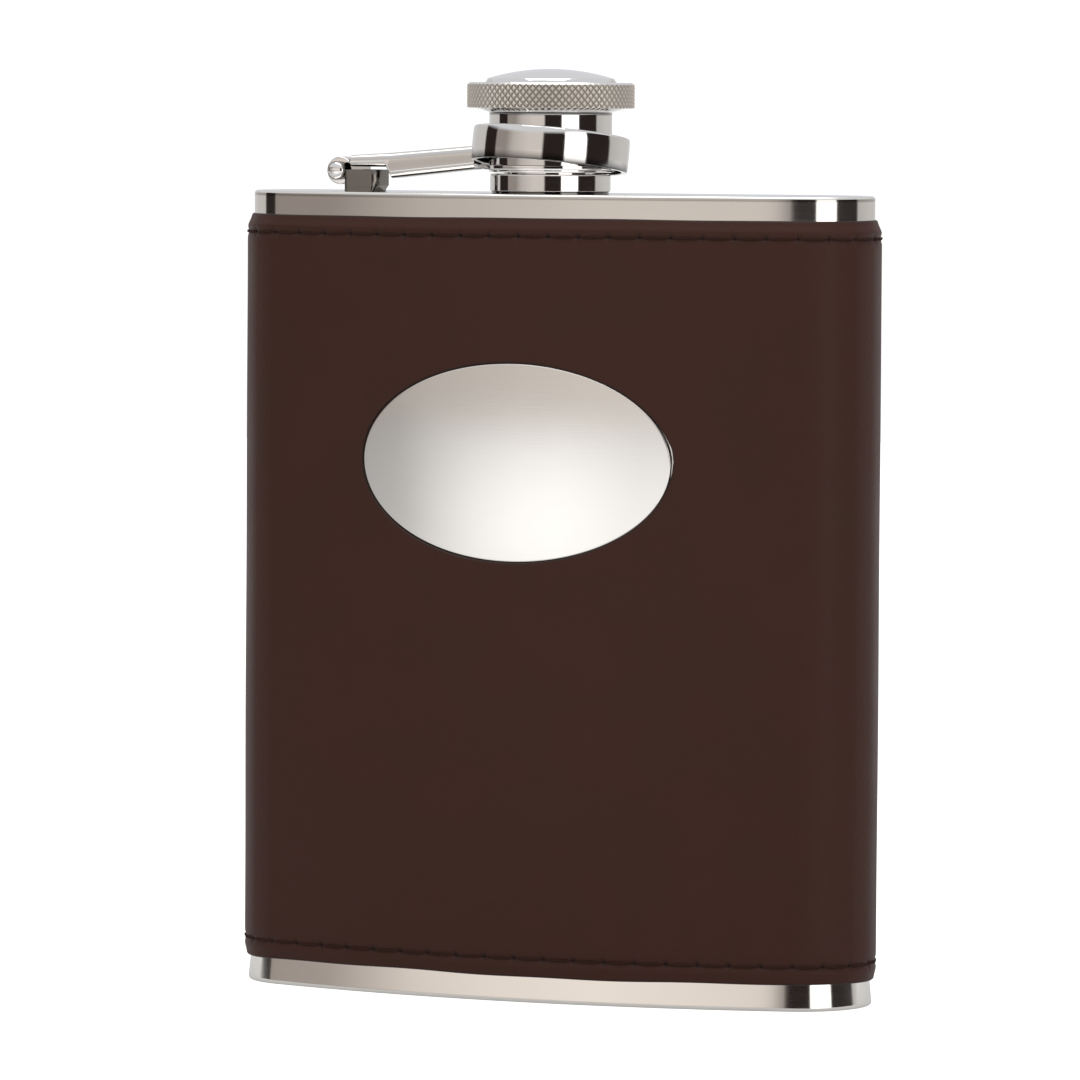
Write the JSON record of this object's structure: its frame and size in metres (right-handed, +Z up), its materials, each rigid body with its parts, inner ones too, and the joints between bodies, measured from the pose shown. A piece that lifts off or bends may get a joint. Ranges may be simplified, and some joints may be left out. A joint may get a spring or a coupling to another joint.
{
  "type": "hip flask",
  "caption": "Kidney-section steel hip flask in a stitched leather wrap with an oval window, and a captive knurled screw cap on a hinged arm.",
  "frame": {"origin": "middle of the width and depth on the underside of the foot", "axes": "+Z up through the cap, -Y out of the front with the oval window, +X across the width away from the hinge"},
  "size_m": [0.0906, 0.027, 0.1233],
  "materials": {
    "satin_steel": "fine satin, softly reflecting",
    "polished_steel": "bright polished stainless steel",
    "leather": "dark brown smooth-grained leather with a soft sheen",
    "thread": "waxed thread, tone on tone with the leather",
    "gasket": "matt silicone"
  },
  "bodies": {
    "flask": {"body_shell": "satin_steel", "bottom_plate": "satin_steel", "top_plate": "satin_steel", "neck_spout": "polished_steel", "leather_wrap": "leather", "top_hem_stitching": "thread", "bottom_hem_stitching": "thread", "back_seam_stitching": "thread", "hinge_bracket": "polished_steel", "hinge_pin": "polished_steel"},
    "arm": {"hinge_arm": "polished_steel", "collar_ring": "polished_steel"},
    "slip_ring": {"retaining_ring": "polished_steel"},
    "cap": {"cap_head": "polished_steel", "cap_top_disc": "polished_steel", "cap_gasket": "gasket"}
  },
  "joints": [
    {"name": "arm_swing", "type": "hinge", "parent": "flask", "child": "arm", "pos_m": [-0.03, -0.0015, 0.10955], "axis": [0, -1, 0], "range_deg": [0, 175]},
    {"name": "cap_lift", "type": "slide", "parent": "arm", "child": "slip_ring", "axis": [0, 0, 1], "range_m": [0, 0.002]},
    {"name": "cap_spin", "type": "hinge", "parent": "slip_ring", "child": "cap", "pos_m": [0, -0.0015, 0.1068], "axis": [0, 0, 1], "range_deg": [0, 360]}
  ],
  "couplings": [
    {"joint": "cap_lift", "follows": "cap_spin", "m_per_rad": 0.0003183}
  ]
}
